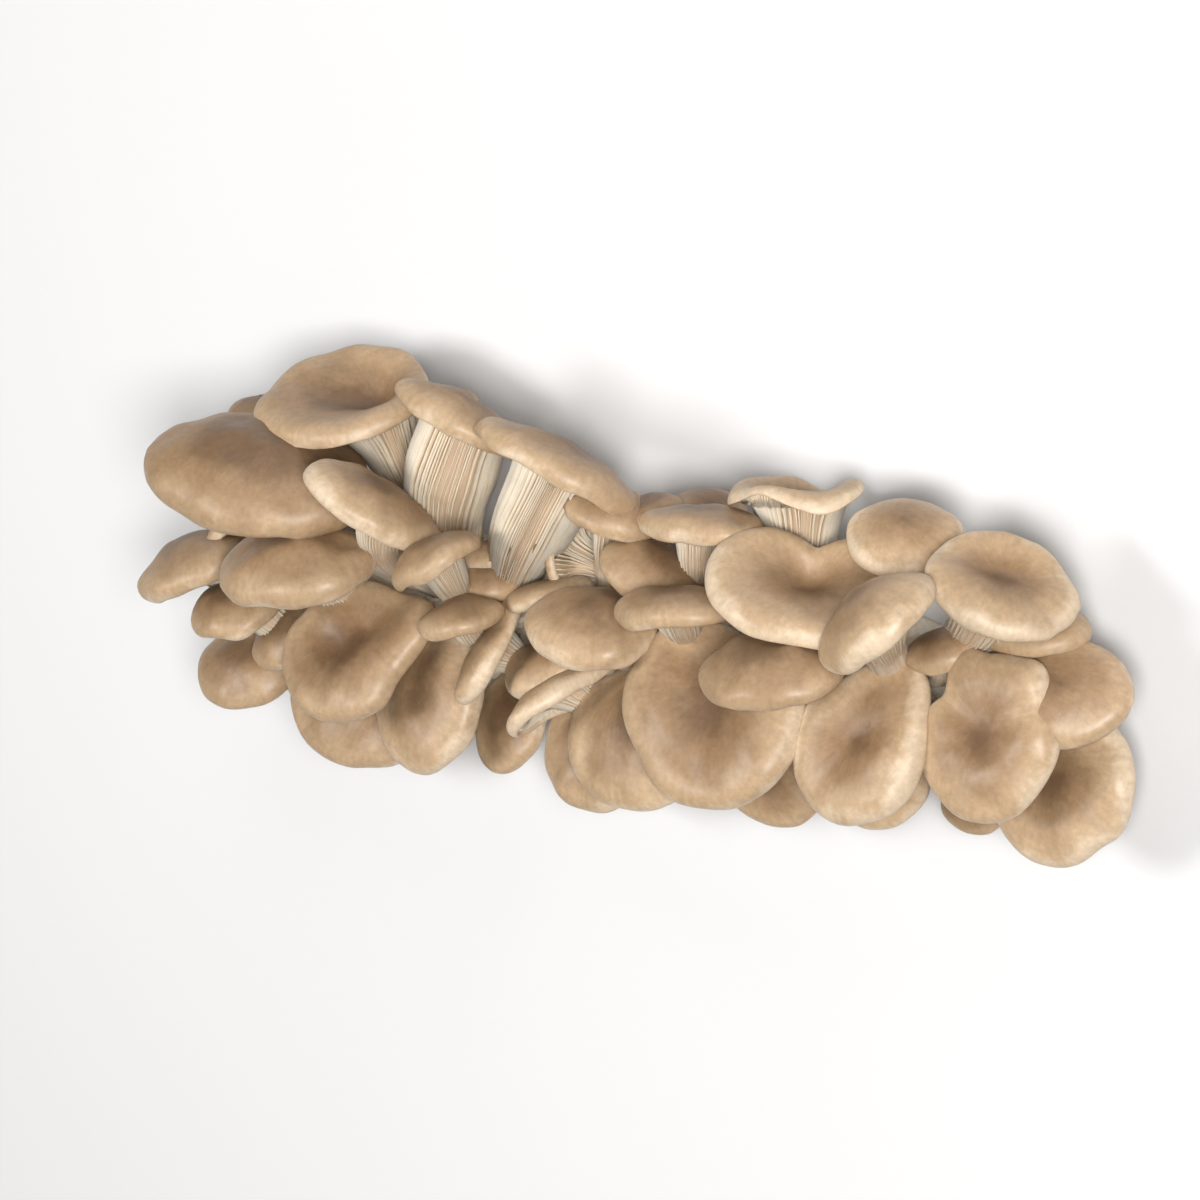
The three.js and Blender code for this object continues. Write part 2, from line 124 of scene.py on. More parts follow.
# Each mushroom: habit, middle of the cap's margin, direction the cap faces (degrees from straight
# up, degrees round from +X), long and wide size of the cap, foot on the base, stem radius, and
# what sets it apart.
MUSHROOMS = {
    "back_01": ("button", (-172, 66, 26), (75, 100), (22, 20), (-110, 20), 4, {}),
    "back_02": ("funnel", (-109, 84, 52), (62, 92), (70, 58), (-92, 20), 8, dict(dip=10)),
    "back_03": ("helmet", (-51, 82, 58), (106, 68), (48, 32), (-80, 12), 10, dict(
        dome=35, flare=1.1, fall=0.3, gills=0.8)),
    "back_04": ("button", (-76, 82, 34), (85, 73), (20, 17), (-78, 20), 4, {}),
    "back_05": ("helmet", (-5, 70, 60), (110, 70), (62, 38), (-58, 8), 7, dict(
        dome=30, flare=1.5, fall=0.35, gills=0.85)),
    "back_06": ("button", (13, 55, 50), (80, 72), (29, 22), (-10, 10), 5, {}),
    "back_07": ("shell", (-6, 38, 36), (100, 190), (36, 32), (10, 8), 5, dict(dip=0, off=0.3)),
    "back_08": ("button", (32, 35, 50), (80, 60), (35, 26), (18, 8), 5, {}),
    "back_09": ("button", (27, 55, 42), (80, 100), (24, 18), (20, 12), 4, {}),
    "back_10": ("helmet", (56, 56, 54), (88, 92), (46, 26), (28, 10), 6, dict(dome=32, drop=0.25)),
    "back_11": ("button", (41, 56, 32), (80, 80), (24, 20), (32, 15), 4, {}),
    "back_12": ("funnel", (83, 70, 36), (93, 94), (52, 38), (72, 12), 7, dict(
        off=0.2, flesh=3.5, wave=(3, 3, 90))),
    "back_13": ("helmet", (134, 61, 44), (58, 75), (35, 29), (102, 12), 6, dict(pale=1)),
    "back_14": ("shell", (176, 52, 50), (68, 55), (47, 39), (126, 12), 8, dict(
        dip=8, pole=(90, 0.15), trough=(-100, 2), pale=0.9,
        lobes=((-25, -0.06, 10), (8, 0.07, 15), (140, 0.06, 18)))),
    "back_15": ("helmet", (177, 33, 30), (75, 90), (36, 26), (130, 8), 5, {}),
    "left_01": ("helmet", (-130, 52, 74), (70, 77), (80, 56), (-106, 10), 9, dict(pale=0)),
    "left_02": ("helmet", (-157, 22, 50), (104, 152), (32, 28), (-112, 8), 4, {}),
    "left_03": ("helmet", (-70, 52, 84), (98, 58), (50, 31), (-86, 10), 6, dict(
        dome=40, drop=0.3, pale=0.7)),
    "left_04": ("helmet", (-38, 37, 82), (76, 117), (37, 29), (-70, 2), 5, dict(
        dome=40, flare=1.8, drop=0.2)),
    "left_05": ("button", (-45, 31, 46), (85, 100), (18, 16), (-70, 4), 3, {}),
    "left_06": ("helmet", (-173, 11, 60), (75, 112), (50, 38), (-114, 2), 6, {}),
    "left_07": ("helmet", (-107, 23, 78), (70, 96), (60, 44), (-98, 0), 8, {}),
    "left_08": ("helmet", (-152, 0, 62), (65, 95), (32, 30), (-108, -8), 5, {}),
    "left_09": ("button", (-139, -10, 48), (45, 115), (26, 24), (-102, -12), 4, {}),
    "left_10": ("shell", (-90, -5, 68), (32, 90), (55, 50), (-90, -6), 8, dict(
        dip=9, pole=(70, 0.25), trough=(-25, 2), pale=0.4,
        lobes=((34, 0.28, 20), (-14, -0.14, 24)))),
    "left_11": ("helmet", (-164, -26, 42), (45, 90), (38, 34), (-106, -14), 6, {}),
    "left_12": ("shell", (-115, -34, 32), (25, 75), (60, 45), (-88, -14), 7, {}),
    "middle_01": ("shell", (-67, -22, 50), (20, 100), (43, 50), (-76, -10), 7, dict(pale=0.9)),
    "middle_02": ("helmet", (-38, 13, 70), (80, 102), (29, 25), (-60, 0), 5, dict(drop=0.2)),
    "middle_03": ("button", (-42, 23, 50), (75, 85), (22, 18), (-66, 2), 3, {}),
    "middle_04": ("shell", (-31, 3, 60), (51, 137), (40, 22), (-56, -6), 4, dict(turn=90, dip=3)),
    "middle_05": ("shell", (-47, -30, 30), (20, 90), (27, 36), (-56, -12), 5, dict(dip=3)),
    "middle_06": ("helmet", (-16, -4, 49), (58, 108), (29, 26), (-6, -6), 4, {}),
    "middle_07": ("helmet", (-3, -12, 54), (86, 129), (44, 26), (-2, -10), 4, dict(
        turn=90, dome=40)),
    "middle_08": ("helmet", (17, 17, 66), (68, 78), (42, 35), (12, 0), 7, {}),
    "middle_09": ("shell", (-14, 22, 50), (85, 108), (34, 26), (0, 2), 4, {}),
    "middle_10": ("helmet", (59, 31, 74), (84, 97), (44, 28), (34, 6), 6, dict(dome=34, drop=0.15)),
    "right_01": ("shell", (27, -21, 46), (25, 95), (58, 52), (18, -10), 7, dict(pale=0.8)),
    "right_02": ("shell", (69, -5, 62), (25, 85), (70, 61), (50, -8), 9, dict(
        dip=12, pole=(84, 0.4), trough=(8, 2.2),
        lobes=((72, -0.3, 22), (132, 0.15, 22), (215, -0.15, 30)))),
    "right_03": ("shell", (-2, -34, 34), (20, 95), (46, 40), (8, -14), 6, {}),
    "right_04": ("helmet", (105, 16, 78), (72, 94), (48, 38), (86, 0), 6, dict(
        flare=1.8, drop=0.2, pale=0.1)),
    "right_05": ("helmet", (150, 40, 78), (66, 126), (52, 38), (116, 4), 7, dict(
        flare=1.8, drop=0.2, pale=0.8)),
    "right_06": ("funnel", (108, 46, 62), (60, 72), (76, 54), (76, 6), 9, dict(
        dip=11, lobes=((108, -0.26, 24),))),
    "right_07": ("shell", (128, -6, 58), (20, 95), (49, 52), (116, -6), 8, dict(
        dip=8, pole=(65, 0.2), trough=(-5, 2.2), lobes=((60, 0.2, 20), (118, -0.16, 24)), pale=1)),
    "right_08": ("shell", (175, 2, 50), (15, 90), (48, 52), (146, -2), 8, dict(
        dip=7, pole=(110, 0.15), pale=0.8,
        lobes=((120, 0.15, 12), (60, 0.15, 12), (150, -0.14, 15), (30, -0.14, 15)))),
    "right_09": ("shell", (194, 17, 38), (40, 75), (46, 35), (140, 6), 6, dict(dip=3)),
    "right_10": ("shell", (189, -16, 28), (10, 80), (52, 50), (145, -8), 7, dict(
        pole=(100, 0.3), lobes=((-45, -0.08, 14),), pale=1)),
    "right_11": ("button", (150, -29, 20), (20, 90), (22, 20), (125, -12), 4, {}),
    "right_12": ("shell", (74, -29, 30), (15, 90), (44, 36), (50, -14), 6, dict(dip=3)),
    "right_13": ("shell", (113, -25, 28), (15, 90), (40, 34), (100, -14), 6, dict(dip=3)),
    "right_14": ("button", (149, 24, 42), (70, 101), (24, 18), (120, 10), 4, {}),
}

BASE_MOUNDS = ((-95, 10, 46), (22, 10, 40), (114, 10, 42))  # x, extra height, spread of each clump
BASE_HEIGHT = 15  # tissue between the clumps
BASE_INSET = 0.6  # keeps the knobs inside the base's box
BASE_SIDES = 420
BASE_RINGS = 56
BASE_SKIRT = ((1, 0.16), (1, 0.08), (0.99, 0.015), (0.97, 0), (0.9, 0), (0.5, 0))  # out, rise
BASE_KNOBS = ((1.2, 15), (0.8, 6), (0.3, 2.8))  # height and size
KNOBS_FROM, KNOBS_FULL = 2, 9  # heights between which they rise from the flat cut
FOOT_RISE = 7  # the tissue climbs this much up each stem
FOOT_SPREAD = 1.5  # over this many stem radii

GILL_SPACING = 1.8  # along the margin
GILL_DEPTH = 4.2
GILL_THICKNESS = 0.2  # half a gill, as a share of the spacing
GILL_FROM = 0.35  # UV height where the gills start, just under the margin
GILL_SEGMENTS = 20  # steps along one gill
FULL_GILLS = 26  # mean cap radius from which the gills are full depth
GILL_SWAY = (8.0, 0.2)  # swings along a gill, and their width as a share of the spacing
GILL_RIPPLE = (23.0, 0.09)
GILL_SHAPE = (0.55, 0.7)  # where along it a gill is deepest, and how full its outline is
GILL_SUNK = 0.0006  # metres that its root goes into the flesh
GILL_SEAT = 0.00015  # metres that the whole gill is lowered

LUMP_SIZE = 17  # unevenness of the caps
LUMP_HEIGHT = 0.6
DENT_SIZE = 6
DENT_HEIGHT = 0.05
LUMPS_TO = 0.6  # share of the stem where it has died away
FULL_SHADE_DIP = 8  # depth from which a hollow has its full painted shade

# ---------------------------------------------------------------- small helpers


def ease(start, end, x):
    t = np.clip((x - start) / (end - start), 0, 1)
    return t * t * (3 - 2 * t)


def turned(vector, about, angle):
    cos, sin = math.cos(angle), math.sin(angle)
    return vector * cos + np.cross(about, vector) * sin + about * np.dot(about, vector) * (1 - cos)


def unit(vectors):
    return vectors / np.maximum(np.linalg.norm(vectors, axis=-1, keepdims=True), TINY)


def lumps(points, size, draw):
    """Soft unevenness between about -1 and 1: crossing swells with directions drawn at random."""
    directions = unit(draw.normal(size=(SWELLS, 3)))
    lengths = draw.uniform(0.7, 1.5, SWELLS)
    phases = draw.uniform(0, TURN, SWELLS)
    swells = np.sin(points @ directions.T * (TURN / size / lengths) + phases)
    return swells.sum(axis=-1) / math.sqrt(SWELLS)


# ---------------------------------------------------------------- the cap


class Growth:
    """One mushroom's driving numbers."""

    def __init__(self, name):
        habit, at, faces, size, foot, stem, traits = MUSHROOMS[name]
        self.__dict__.update({**PLAIN, **HABITS[habit], **traits})
        self.name = name
        self.habit = habit
        self.centre = np.array(at, float)
        self.tilt, self.toward = np.radians(faces)
        self.long, self.wide = size
        self.mean = (self.long + self.wide) / 4
        self.root = np.array([*foot, ROOT_HEIGHT], float)
        self.stem = stem
        self.draw = np.random.default_rng(list(MUSHROOMS).index(name) + 11)
        self.ripples = self.draw.uniform(0, TURN, 3)
        # a given value is partly the cap's own tone and partly painted light and shade on the whole
        # cap
        self.tone = self.pale if self.pale is not None else self.draw.uniform(0.2, 0.8)
        self.set_axes()

    def set_axes(self):
        hinge = np.array([-math.sin(self.toward), math.cos(self.toward), 0.0])
        self.facing = turned(np.array([0, 0, 1.0]), hinge, self.tilt)
        level = turned(np.array([1.0, 0, 0]), hinge, self.tilt)
        self.long_axis = turned(level, self.facing, math.radians(self.turn))
        self.wide_axis = np.cross(self.facing, self.long_axis)
        to_root = self.root - self.centre
        self.stem_angle = math.atan2(
            np.dot(to_root, self.wide_axis), np.dot(to_root, self.long_axis))
        if self.pole:
            self.stem_angle, self.off = math.radians(self.pole[0]), self.pole[1]
        reach = self.off * self.margin_radius(self.stem_angle)
        self.pole = reach * np.array([math.cos(self.stem_angle), math.sin(self.stem_angle)])

    def margin_radius(self, angle):
        """The margin: an ellipse with a few soft lobes and a slight waviness."""
        a, b = self.long / 2, self.wide / 2
        radius = a * b / np.hypot(b * np.cos(angle), a * np.sin(angle))
        for at, amount, spread in self.lobes:
            away = (angle - math.radians(at) + math.pi) % TURN - math.pi
            radius = radius * (1 + amount * np.exp(-((away / math.radians(spread)) ** 2)))
        for (count, height), phase in zip(MARGIN_RIPPLES, self.ripples):
            radius = radius * (1 + height * np.cos(count * angle + phase))
        return radius


def cap_section(growth):
    """Section through the cap as radius and height against the share of the way out."""
    out = np.linspace(0, 1, SECTION_STEPS + 1)
    middle = (out[1:] + out[:-1]) / 2
    roll = np.radians(growth.curl) * ease(growth.curl_from, 1, middle)
    slope = np.radians(growth.dome) * middle + roll
    radius = np.concatenate([[0], np.cumsum(np.cos(slope))])
    height = -np.concatenate([[0], np.cumsum(np.sin(slope))])
    return out, radius / radius[-1], (height - height[-1]) / radius[-1]


def cap_sheet(growth, angles):
    """The middle sheet of the cap: points, and how far out and how deep in the hollow each lies."""
    steps, radii, heights = cap_section(growth)
    turn = growth.stem_angle + math.radians(growth.trough[0])
    dip_width = DIP_WIDTH * growth.mean
    swell, count, phase = growth.wave

    def sheet(out, shift=0.0):
        out = np.asarray(out, float)[:, None]
        angle = angles + shift
        edge = growth.margin_radius(angle)
        margin = np.stack([edge * np.cos(angle), edge * np.sin(angle)], axis=-1)
        flat = growth.pole + out[..., None] * (margin - growth.pole)
        seen = np.arctan2(flat[..., 1], flat[..., 0])
        share = np.hypot(flat[..., 0], flat[..., 1]) / growth.margin_radius(seen)
        share = np.maximum(share, LEAST)
        shrink = np.interp(share, steps, radii) / share
        from_pole = flat - growth.pole
        along = from_pole[..., 0] * math.cos(turn) + from_pole[..., 1] * math.sin(turn)
        across = from_pole[..., 1] * math.cos(turn) - from_pole[..., 0] * math.sin(turn)
        hollow = np.exp(-((along / (dip_width * growth.trough[1])) ** 2) - (across / dip_width) ** 2)
        height = growth.mean * np.interp(share, steps, heights) - growth.dip * hollow
        height = height + swell * share**3 * np.cos(count * seen - math.radians(phase))
        points = (
            growth.centre
            + (flat[..., 0] * shrink)[..., None] * growth.long_axis
            + (flat[..., 1] * shrink)[..., None] * growth.wide_axis
            + height[..., None] * growth.facing
        )
        return points, share, hollow

    return sheet


def sheet_normals(sheet, out):
    out = np.asarray(out, float)
    start = np.maximum(out - SLOPE_STEP, 2 * SLOPE_STEP)
    ring = np.maximum(out, 4 * SLOPE_STEP)
    outward = sheet(start + 2 * SLOPE_STEP)[0] - sheet(start)[0]
    around = sheet(ring, SLOPE_STEP)[0] - sheet(ring, -SLOPE_STEP)[0]
    return unit(np.cross(outward, around))


def half_flesh(growth, out):
    """Half the flesh thickness: full over the stem and rounded off to nothing at the margin."""
    rounding = np.clip((np.asarray(out) - EDGE) / (1 - EDGE), 0, 1)
    return growth.flesh / 2 * (1 - THINNING * np.asarray(out)) * np.sqrt(1 - rounding**2)


# ---------------------------------------------------------------- the stem


def stem_rings(growth, neck, stations, around):
    """Rings round the stem's line, which leaves the cap squarely and bends down to its foot."""
    root = growth.root
    span = np.linalg.norm(root - neck)
    rise = neck - root
    lean = unit(np.array([*(rise[:2] * LEAN), max(rise[2], LEAST_RISE)]))
    below_cap = neck - growth.facing * growth.drop * span
    above_foot = root + lean * LEAN * span
    guides = np.array([neck, below_cap, above_foot, root])

    def weigh(weights):
        return np.stack(weights, axis=-1) @ guides

    u = stations
    line = weigh([(1 - u) ** 3, 3 * u * (1 - u) ** 2, 3 * u**2 * (1 - u), u**3])
    tangents = unit(weigh([
        -3 * (1 - u) ** 2,
        3 * (1 - u) * (1 - 3 * u),
        3 * u * (2 - 3 * u),
        3 * u**2,
    ]))
    long_axis, wide_axis, before = growth.long_axis, growth.wide_axis, -growth.facing
    rings = []
    fibres = sum(
        height * np.cos(count * around + phase)
        for (count, height), phase in zip(STEM_FIBRES, growth.ripples)
    )
    for along, middle, tangent in zip(u, line, tangents):
        about = np.cross(before, tangent)
        size = np.linalg.norm(about)
        if size > TINY:
            angle = math.atan2(size, np.dot(before, tangent))
            long_axis = turned(long_axis, about / size, angle)
            wide_axis = turned(wide_axis, about / size, angle)
        before = tangent
        flare = growth.flare * math.exp(-along / growth.fall)
        radius = growth.stem * (1 + flare - TAPER * along)
        foot = FOOT_SWELL * ease(FOOT_FROM, 1, along)
        radius *= 1 + foot + fibres * ease(FIBRES_FROM, FIBRES_FULL, along)
        rings.append(
            middle
            + (radius * np.cos(around))[:, None] * long_axis
            + (radius * np.sin(around))[:, None] * wide_axis
        )
    return np.array(rings)


# ---------------------------------------------------------------- closed skins


def closed_skin(name, first, rings, last, heights, marks):
    """A closed mesh from a first point, rings of points and a last point.

    heights are the UV heights of all the points' rows, and marks the attribute values of the
    points, by name.
    """
    row_count, count = rings.shape[:2]
    points = np.concatenate([first[None], rings.reshape(-1, 3), last[None]]) * MM
    here = np.arange(count)
    after = (here + 1) % count
    left, right = here / count, (here + 1) / count
    starts = 1 + count * np.arange(row_count - 1)[:, None]
    nexts = starts + count
    quads = np.stack([starts + here, nexts + here, nexts + after, starts + after], axis=-1)
    foot = 1 + (row_count - 1) * count
    top_fan = np.stack([np.zeros(count, int), 1 + here, 1 + after], axis=-1)
    end_fan = np.stack([foot + here, np.full(count, len(points) - 1), foot + after], axis=-1)

    def corners(us, vs):
        return np.stack([np.broadcast_to(us, (len(vs), count, us.shape[-1])), vs], axis=-1)

    sides = np.stack([left, left, right, right], axis=-1)
    above, below = heights[1:-2], heights[2:-1]
    rise = np.stack([above, below, below, above], axis=-1)[:, None, :].repeat(count, axis=1)
    quad_uv = corners(sides, rise)
    middle = (left + right) / 2
    top_v = np.broadcast_to([heights[0], heights[1], heights[1]], (1, count, 3))
    end_v = np.broadcast_to([heights[-2], heights[-1], heights[-2]], (1, count, 3))
    top_uv = corners(np.stack([middle, left, right], axis=-1), top_v)
    end_uv = corners(np.stack([left, middle, right], axis=-1), end_v)

    mesh = bpy.data.meshes.new(name)
    faces = [*top_fan.tolist(), *quads.reshape(-1, 4).tolist(), *end_fan.tolist()]
    mesh.from_pydata(points.tolist(), [], faces)
    uv = np.concatenate([part.reshape(-1, 2) for part in (top_uv, quad_uv, end_uv)])
    mesh.uv_layers.new(name="UVMap").data.foreach_set("uv", uv.ravel())
    for mark, values in marks.items():
        mesh.attributes.new(mark, "FLOAT", "POINT").data.foreach_set("value", values)
    mesh.polygons.foreach_set("use_smooth", [True] * len(mesh.polygons))
    piece = bpy.data.objects.new(name, mesh)
    bpy.context.scene.collection.objects.link(piece)
    return piece


def stem_height(along):
    """UV height of a place on the stem below the neck."""
    return 2 / 3 + (along - NECK) / (1 - NECK) / 3


def grow_mushroom(growth):
    """The mushroom's skin from the crown over the margin, under the cap and down the stem."""
    sides = LEAST_SIDES + int(SIDES_PER_MM * growth.mean)
    angles = np.arange(sides) / sides * TURN
    sheet = cap_sheet(growth, angles)
    quarter = np.linspace(0, math.pi / 2, ROUNDING_ROWS)

    top_out = np.concatenate([
        np.linspace(FIRST_RING, EDGE, TOP_ROWS)[:-1],
        EDGE + (1 - EDGE) * np.sin(quarter),
    ])
    lip_out = np.concatenate([
        EDGE + (1 - EDGE) * np.cos(quarter[1:]),
        np.linspace(EDGE, UNDER_FROM, LIP_ROWS)[1:-1],
    ])
    stations = np.concatenate([
        np.linspace(0, NECK, NECK_ROWS),
        np.linspace(NECK, 1, STEM_ROWS)[1:],
    ])
    melt = np.minimum(stations / NECK, 1)
    under_out = UNDER_FROM + (UNDER_TO - UNDER_FROM) * melt

    def skin(out, side):
        points, share, hollow = sheet(out)
        offset = side * half_flesh(growth, out)[:, None, None]
        return points + offset * sheet_normals(sheet, out), share, hollow

    top, top_share, top_hollow = skin(top_out, 1)
    lip, lip_share, _ = skin(lip_out, -1)
    under, under_share, _ = skin(under_out, -1)

    crown_point = sheet([0.0])[0][0].mean(axis=0)
    crown_normal = unit(sheet_normals(sheet, [0.0])[0].mean(axis=0))
    crown = crown_point + crown_normal * growth.flesh / 2
    neck = crown_point - growth.facing * growth.flesh / 2
    edge = growth.margin_radius(angles)
    edge_x, edge_y = edge * np.cos(angles), edge * np.sin(angles)
    around = np.arctan2(edge_y - growth.pole[1], edge_x - growth.pole[0])
    stem = stem_rings(growth, neck, stations, around)
    weight = ease(0, 1, melt)[:, None, None]
    under = under * (1 - weight) + stem * weight

    rings = np.concatenate([top, lip, under])
    row_along = np.concatenate([np.zeros(len(top) + len(lip)), stations])
    swell = LUMP_HEIGHT * lumps(rings, LUMP_SIZE, growth.draw)
    swell = swell + DENT_HEIGHT * lumps(rings, DENT_SIZE, growth.draw)
    fade = (1 - ease(NECK, LUMPS_TO, row_along))[:, None, None]
    rings = rings + swell[..., None] * growth.facing * fade

    under_v = (2 - UNDER_FROM) / 3
    rows = np.concatenate([
        [0], top_out / 3, (2 - lip_out) / 3,
        under_v + (2 / 3 - under_v) * melt[:NECK_ROWS],
        stem_height(stations[NECK_ROWS:]), [1],
    ])
    flat = np.ones(sides)
    along = row_along[:, None] * flat
    row_flesh = [np.zeros(len(top)), ease(1, 0.86, lip_out), np.ones(len(stations))]
    flesh = np.concatenate(row_flesh)[:, None] * flat
    margin = np.concatenate([top_share, lip_share, under_share])
    # painted shade in the hollow over the stem: stronger the deeper the dip
    depth = min(growth.dip / FULL_SHADE_DIP, 1)
    hollow = np.concatenate([top_hollow, 0 * lip_share, 0 * under_share]) * depth

    def all_points(values, start, end):
        return np.concatenate([[start], values.ravel(), [end]])

    marks = dict(
        margin=all_points(margin, growth.off, 0),
        # hollow carries the painted shade for the hollow over the stem
        hollow=all_points(hollow, depth, 0),
        flesh=all_points(flesh, 0, 1),
        stem=all_points(along, 0, 1),
        tone=all_points(np.full_like(along, growth.tone), growth.tone, growth.tone),
        # gilled marks where painted shade goes on the underside between the gills
        gilled=all_points(flesh * (1 - ease(0.8 * growth.gills, growth.gills, along)), 0, 0),
    )
    return closed_skin(growth.name + "_skin", crown, rings, growth.root, rows, marks)


# ---------------------------------------------------------------- gills


class Tree:
    """A node tree with short ways to add and link its nodes."""

    def __init__(self, tree):
        self.tree = tree

    def add(self, kind, links=None, **settings):
        """A node; links gives its inputs by name or number: another socket, or a plain value."""
        node = self.tree.nodes.new(kind)
        for key, value in settings.items():
            setattr(node, key, value)
        for key, value in (links or {}).items():
            if isinstance(value, bpy.types.NodeSocket):
                self.tree.links.new(value, node.inputs[key])
            else:
                node.inputs[key].default_value = value
        return node

    def math(self, operation, *values):
        return self.add("ShaderNodeMath", dict(enumerate(values)), operation=operation).outputs[0]

    def socket(self, name, kind, side="INPUT", value=None):
        made = self.tree.interface.new_socket(name, in_out=side, socket_type=kind)
        if value is not None:
            made.default_value = value
        return made


def make_gill_tree():
    """Thin gills under the cap that run from the margin to the stem, with short ones between."""
    group = bpy.data.node_groups.new("gills_under_cap", "GeometryNodeTree")
    group.is_modifier = True
    t = Tree(group)
    t.socket("Geometry", "NodeSocketGeometry")
    t.socket("Gills", "NodeSocketInt", value=70)
    t.socket("Depth", "NodeSocketFloat", value=GILL_DEPTH * MM)
    t.socket("Thickness", "NodeSocketFloat", value=GILL_THICKNESS)
    t.socket("From", "NodeSocketFloat", value=GILL_FROM)
    t.socket("To", "NodeSocketFloat", value=0.72)
    t.socket("Tone", "NodeSocketFloat", value=0.5)
    t.socket("Seed", "NodeSocketInt", value=1)
    t.socket("Skin", "NodeSocketMaterial")
    t.socket("Gill Flesh", "NodeSocketMaterial")
    t.socket("Geometry", "NodeSocketGeometry", side="OUTPUT")
    given = t.add("NodeGroupInput").outputs

    blade = t.add("GeometryNodeMeshCylinder", {
        "Vertices": 4, "Side Segments": GILL_SEGMENTS, "Radius": 1.0, "Depth": 1.0,
    }, fill_type="NGON")
    one = t.add("GeometryNodeGeometryToInstance", {0: blade.outputs["Mesh"]})
    many = t.add("GeometryNodeDuplicateElements", {
        "Geometry": one.outputs[0], "Amount": given["Gills"]}, domain="INSTANCE")
    numbered = t.add("GeometryNodeStoreNamedAttribute", {
        "Geometry": many.outputs["Geometry"], "Name": "gill",
        "Value": many.outputs["Duplicate Index"],
    }, data_type="FLOAT", domain="INSTANCE")
    blades = t.add("GeometryNodeRealizeInstances", {0: numbered.outputs[0]})
    number = t.add(
        "GeometryNodeInputNamedAttribute", {"Name": "gill"}, data_type="FLOAT").outputs[0]

    position = t.add("GeometryNodeInputPosition").outputs[0]
    place = t.add("ShaderNodeSeparateXYZ", {0: position}).outputs
    along = t.math("ADD", place["Z"], 0.5)

    def drawn(low, high, salt):
        node = t.add("FunctionNodeRandomValue", {
            "ID": number, "Seed": t.math("ADD", given["Seed"], float(salt))}, data_type="FLOAT")
        node.inputs[2].default_value = low
        node.inputs[3].default_value = high
        return node.outputs[1]

    short = t.math("MODULO", number, 2.0)
    shorter = t.math("MULTIPLY", short, drawn(0.05, 0.7, 1))
    length = t.math("MULTIPLY", drawn(0.86, 1.0, 2), t.math("SUBTRACT", 1.0, shorter))
    run = t.math("SUBTRACT", given["To"], given["From"])
    reach = t.math("MULTIPLY", run, t.math("MULTIPLY", along, length))
    v = t.math("ADD", given["From"], reach)

    def swings(size, salt):
        phase = t.math("ADD", t.math("MULTIPLY", along, size[0]), drawn(0.0, TURN, salt))
        return t.math("MULTIPLY", t.math("SINE", phase), size[1])

    bend = t.math("ADD", swings(GILL_SWAY, 3), swings(GILL_RIPPLE, 6))
    line = t.math("ADD", number, drawn(0.25, 0.75, 4))
    middle = t.math("ADD", line, t.math("MULTIPLY", bend, along))
    side = t.math("MULTIPLY", place["X"], given["Thickness"])
    aside = t.math("MULTIPLY", side, drawn(0.75, 1.3, 7))
    u = t.math("FRACT", t.math("DIVIDE", t.math("ADD", middle, aside), given["Gills"]))
    spot = t.add("ShaderNodeCombineXYZ", {"X": u, "Y": v}).outputs[0]

    uv_map = t.add(
        "GeometryNodeInputNamedAttribute", {"Name": "UVMap"}, data_type="FLOAT_VECTOR").outputs[0]

    def on_skin(value):
        node = t.add("GeometryNodeSampleUVSurface", data_type="FLOAT_VECTOR")
        t.tree.links.new(given["Geometry"], node.inputs["Mesh"])
        t.tree.links.new(value, node.inputs["Value"])
        t.tree.links.new(uv_map, node.inputs["Source UV Map"])
        t.tree.links.new(spot, node.inputs["Sample UV"])
        return node.outputs["Value"]

    point = on_skin(t.add("GeometryNodeInputPosition").outputs[0])
    out = on_skin(t.add("GeometryNodeInputNormal").outputs[0])
    arch = t.math("SINE", t.math("MULTIPLY", math.pi, t.math("POWER", along, GILL_SHAPE[0])))
    swell = t.math("POWER", t.math("MAXIMUM", arch, 0.0), GILL_SHAPE[1])
    depth = t.math("MULTIPLY", t.math("MULTIPLY", given["Depth"], drawn(0.8, 1.1, 5)), swell)
    crest = t.math("MULTIPLY", t.math("MAXIMUM", place["Y"], 0.0), depth)
    sunk = t.math("MULTIPLY", t.math("MINIMUM", place["Y"], 0.0), GILL_SUNK)
    rise = t.math("SUBTRACT", t.math("ADD", crest, sunk), GILL_SEAT)
    lift = t.add("ShaderNodeVectorMath", {0: out, 3: rise}, operation="SCALE").outputs[0]
    there = t.add("ShaderNodeVectorMath", {0: point, 1: lift}, operation="ADD").outputs[0]

    crested = t.add("GeometryNodeStoreNamedAttribute", {
        "Geometry": blades.outputs[0], "Name": "crest", "Value": t.math("MAXIMUM", place["Y"], 0.0),
    }, data_type="FLOAT", domain="POINT")
    toned = t.add("GeometryNodeStoreNamedAttribute", {
        "Geometry": crested.outputs[0], "Name": "tone", "Value": given["Tone"],
    }, data_type="FLOAT", domain="POINT")
    lain = t.add("GeometryNodeStoreNamedAttribute", {
        "Geometry": toned.outputs[0], "Name": "along", "Value": along,
    }, data_type="FLOAT", domain="POINT")
    set_place = t.add("GeometryNodeSetPosition", {"Geometry": lain.outputs[0], "Position": there})
    smooth = t.add("GeometryNodeSetShadeSmooth", {"Geometry": set_place.outputs[0]})
    flesh = t.add("GeometryNodeSetMaterial", {
        "Geometry": smooth.outputs[0], "Material": given["Gill Flesh"]})
    skin = t.add("GeometryNodeSetMaterial", {
        "Geometry": given["Geometry"], "Material": given["Skin"]})
    both = t.add("GeometryNodeJoinGeometry")
    t.tree.links.new(flesh.outputs[0], both.inputs[0])
    t.tree.links.new(skin.outputs[0], both.inputs[0])
    whole = t.add("GeometryNodeRealizeInstances", {0: both.outputs[0]})
    t.add("NodeGroupOutput", {0: whole.outputs[0]})
    return group


